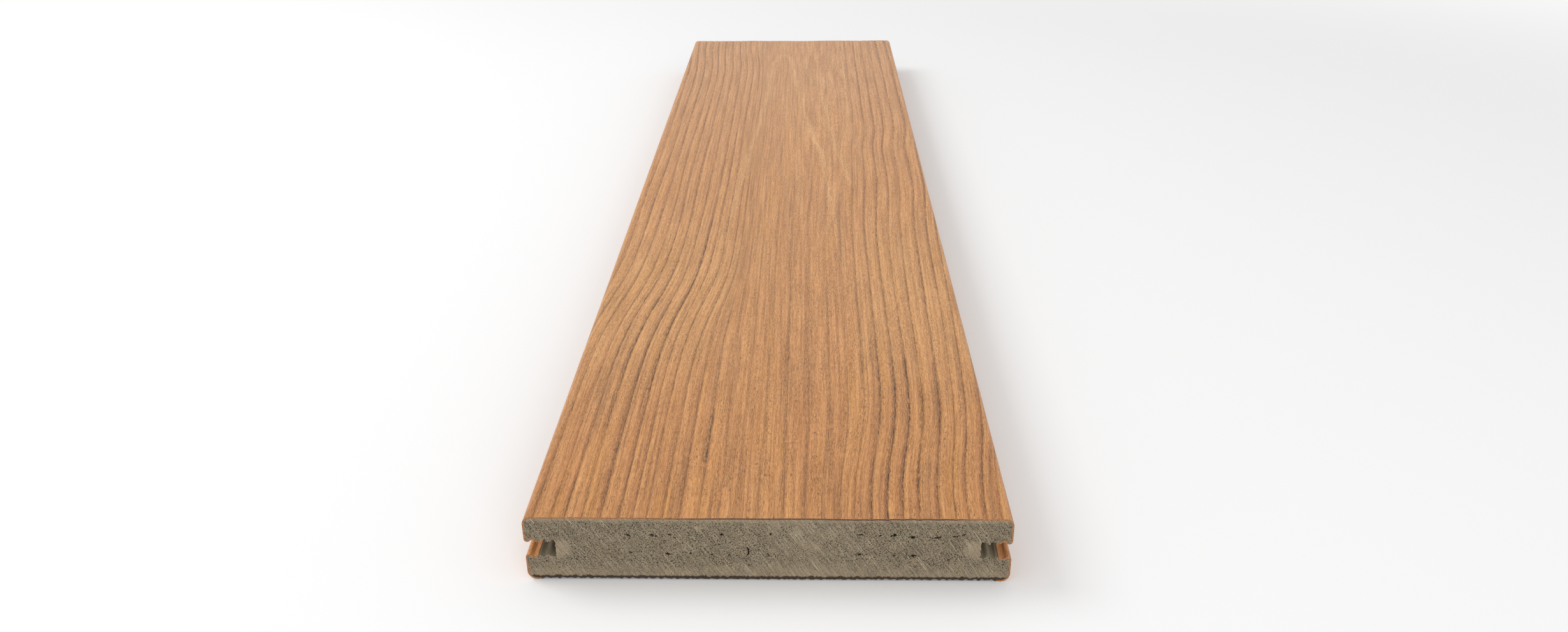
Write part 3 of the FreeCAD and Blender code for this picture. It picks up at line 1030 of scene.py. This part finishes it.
def drawn_foam():
    """Bare foam as it left the die, with fine drawn lines along the board."""
    m = Recipe("drawn_foam")
    place = m.object_place()
    drawn = m.noise(m.stretched(place, 0.5, 30.0, 0.5), 3.0, 0.6)
    blotch = m.noise(m.stretched(place, 14.0, 60.0, 14.0), 3.0)
    pits = m.noise(m.stretched(place, 0.35, 0.9, 0.35), 2.0)
    colour = m.blend(m.span(blotch, 0.3, 0.7), display(124, 113, 92), display(142, 132, 110))
    shade = m.span(drawn, 0.35, 0.65, 0.86, 1.08)
    colour = m.blend(1.0, colour, m.place(shade, shade, shade), "MULTIPLY")
    pitted = m.span(pits, 0.64, 0.74)
    colour = m.blend(m.times(pitted, 0.6), colour, display(70, 62, 48))
    # Dark on the low part of the last millimetres before each end: painted shadow of the gap under
    # the chipped end.
    by_end = m.span(m.maths("ABSOLUTE", m.part(place, 1)), FAR_END - 1.8, FAR_END - 1.0)
    under = m.span(m.part(place, 2), 1.2, 0.9)
    colour = m.blend(m.times(by_end, under), colour, display(40, 32, 24))
    m.bump(m.plus(m.times(drawn, 0.6), m.times(pitted, -0.8)), 0.09)
    m.shader.inputs["IOR"].default_value = 1.42
    return m.finish(colour, m.span(drawn, 0.3, 0.7, 0.62, 0.78))


def make_floor():
    """A pale floor that shows the board's shadow and turns plain white further out."""
    far = FLOOR_HALF_SIZE
    mesh = bpy.data.meshes.new("floor")
    square = [(-far, -far, 0), (far, -far, 0), (far, far, 0), (-far, far, 0)]
    mesh.from_pydata(square, [], [(0, 1, 2, 3)])
    m = Recipe("floor")
    m.shader.inputs["Base Color"].default_value = (FLOOR_GREY, FLOOR_GREY, FLOOR_GREY, 1.0)
    m.shader.inputs["Roughness"].default_value = 0.9
    m.shader.inputs["Specular IOR Level"].default_value = 0.0
    place = m.tree.nodes.new("ShaderNodeTexCoord").outputs["Object"]
    length = m.tree.nodes.new("ShaderNodeVectorMath")
    length.operation = "LENGTH"
    m.put(length.inputs[0], place)
    out = m.span(length.outputs["Value"], *FLOOR_FADE)
    white = m.tree.nodes.new("ShaderNodeEmission")
    mixed = m.tree.nodes.new("ShaderNodeMixShader")
    m.put(mixed.inputs[0], m.times(out, m.seen_directly()))
    m.put(mixed.inputs[1], m.shader.outputs[0])
    m.put(mixed.inputs[2], white.outputs[0])
    m.put(m.tree.nodes["Material Output"].inputs["Surface"], mixed.outputs[0])
    mesh.materials.append(m.material)
    floor = bpy.data.objects.new("floor", mesh)
    bpy.context.scene.collection.objects.link(floor)


def make_world():
    """Even light from all round, in front of a plain white background."""
    world = bpy.data.worlds.new("studio")
    world.use_nodes = True
    bpy.context.scene.world = world
    nodes = Nodes(world.node_tree)
    background = nodes.tree.nodes["Background"]
    background.inputs["Color"].default_value = (1.0, 1.0, 1.0, 1.0)
    up_to_white = nodes.times(nodes.seen_directly(), 1.0 - WORLD_LIGHT)
    nodes.put(background.inputs["Strength"], nodes.plus(up_to_white, WORLD_LIGHT))


def make_lamp(name, place, aim, size, power):
    """A square softbox that points at a place."""
    lamp = bpy.data.lights.new(name, "AREA")
    lamp.shape = "SQUARE"
    lamp.size = size
    lamp.energy = power
    softbox = bpy.data.objects.new(name, lamp)
    softbox.location = place
    softbox.rotation_euler = (Vector(aim) - Vector(place)).to_track_quat("-Z", "Y").to_euler()
    bpy.context.scene.collection.objects.link(softbox)


def make_camera():
    """The camera at the photograph's place and angle."""
    camera = bpy.data.cameras.new("camera")
    camera.sensor_fit = "HORIZONTAL"
    camera.sensor_width = SENSOR_WIDTH
    camera.lens = FOCAL_LENGTH / IMAGE_WIDTH * SENSOR_WIDTH
    camera.clip_start = 0.01
    camera.clip_end = 50.0
    viewer = bpy.data.objects.new("camera", camera)
    viewer.matrix_world = (
        Matrix.Translation(CAMERA_PLACE)
        @ Matrix.Rotation(CAMERA_TURN, 4, "Z")
        @ Matrix.Rotation(math.pi / 2 - CAMERA_DOWN, 4, "X")
        @ Matrix.Rotation(CAMERA_ROLL, 4, "Z")
    )
    bpy.context.scene.collection.objects.link(viewer)
    bpy.context.scene.camera = viewer


def make_board():
    """All the pieces of the board, each in place of its node."""
    core = end_outline("foam_core")
    fine_rows = rows_along()
    surface = grained_cap()
    cut = cut_cap()
    make_cap("top_cap_grained", "top_cap", core, fine_rows, None, surface, cut)
    make_cap("left_lip_skin", "left_lip_cap", core, fine_rows, LEFT_LIP_BEGINS, surface, cut)
    make_cap("right_lip_skin", "right_lip_cap", core, fine_rows, RIGHT_LIP_BEGINS, surface, cut)
    make_core(fine_rows, core, sawn_foam(), drawn_foam())


bpy.context.scene.view_settings.view_transform = "Standard"
make_board()
make_floor()
make_world()
make_lamp("key", place=(-0.9, 0.1, 0.9), aim=(0.0, 0.0, 0.0), size=0.6, power=5.2)
make_lamp("front_fill", place=(0.3, -1.6, 0.35), aim=(0.0, -0.29, 0.0), size=1.0, power=9.5)
make_camera()
